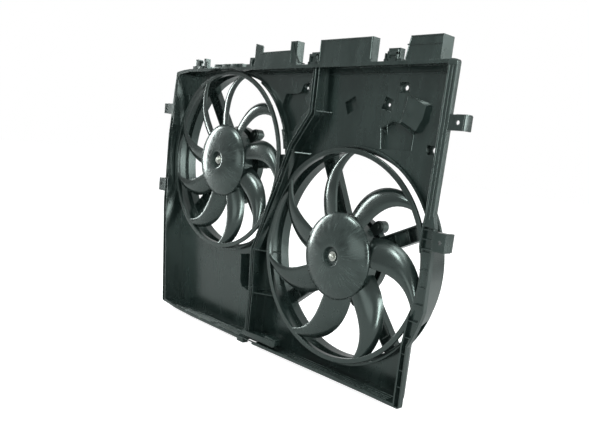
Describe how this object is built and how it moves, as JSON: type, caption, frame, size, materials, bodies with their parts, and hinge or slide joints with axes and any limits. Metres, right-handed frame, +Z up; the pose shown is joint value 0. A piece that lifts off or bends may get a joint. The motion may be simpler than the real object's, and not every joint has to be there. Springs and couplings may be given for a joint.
{
  "type": "radiator cooling fan",
  "caption": "Twin cooling fan module for a vehicle radiator: moulded shroud, ring fans of two sizes on their own electric motors, side brackets.",
  "frame": {"origin": "middle of the shroud's width, level with the lower edge at its right end, in the plane of the front rim that faces the radiator", "axes": "+X to the right seen from the front, +Y to the rear along both fan shafts, +Z up"},
  "size_m": [0.829, 0.112, 0.598],
  "materials": {
    "shroud_plastic": "moulded, satin",
    "fan_plastic": "moulded, satin",
    "zinc_steel": "zinc plated",
    "bright_steel": "ground",
    "motor_steel": "black coated",
    "magnet_grey": "sintered",
    "core_steel": "laminated",
    "copper_wire": "enamelled",
    "copper_bar": "turned",
    "brush_carbon": "pressed carbon",
    "socket_plastic": "moulded",
    "terminal_brass": "tinned",
    "grommet_rubber": "moulded"
  },
  "bodies": {
    "shroud": {"shroud_panel": "shroud_plastic", "upper_left_bracket": "shroud_plastic", "lower_left_bracket": "shroud_plastic", "upper_right_bracket": "shroud_plastic", "lower_right_bracket": "shroud_plastic", "large_barrel": "shroud_plastic", "large_motor_carrier": "shroud_plastic", "large_motor_can": "motor_steel", "large_motor_end_cap": "motor_steel", "large_front_bearing": "bright_steel", "large_rear_bearing": "bright_steel", "large_motor_magnets": "magnet_grey", "large_brush_holder": "socket_plastic", "large_motor_brushes": "brush_carbon", "large_brush_springs": "bright_steel", "large_motor_socket": "socket_plastic", "large_socket_terminals": "terminal_brass", "large_mount_grommets": "grommet_rubber", "large_mount_screws": "zinc_steel", "small_barrel": "shroud_plastic", "small_motor_carrier": "shroud_plastic", "small_motor_can": "motor_steel", "small_motor_end_cap": "motor_steel", "small_front_bearing": "bright_steel", "small_rear_bearing": "bright_steel", "small_motor_magnets": "magnet_grey", "small_brush_holder": "socket_plastic", "small_motor_brushes": "brush_carbon", "small_brush_springs": "bright_steel", "small_motor_socket": "socket_plastic", "small_socket_terminals": "terminal_brass", "small_mount_grommets": "grommet_rubber", "small_mount_screws": "zinc_steel"},
    "large_fan": {"large_fan_wheel": "fan_plastic", "large_hub_nut": "zinc_steel", "large_motor_shaft": "bright_steel", "large_armature_core": "core_steel", "large_armature_windings": "copper_wire", "large_commutator": "copper_bar"},
    "small_fan": {"small_fan_wheel": "fan_plastic", "small_hub_nut": "zinc_steel", "small_motor_shaft": "bright_steel", "small_armature_core": "core_steel", "small_armature_windings": "copper_wire", "small_commutator": "copper_bar"}
  },
  "joints": [
    {"name": "large_fan_spin", "type": "hinge", "parent": "shroud", "child": "large_fan", "pos_m": [0.1795, 0.03, 0.2145], "axis": [0, 1, 0], "continuous": true},
    {"name": "small_fan_spin", "type": "hinge", "parent": "shroud", "child": "small_fan", "pos_m": [-0.1915, 0.03, 0.3555], "axis": [0, 1, 0], "continuous": true}
  ]
}
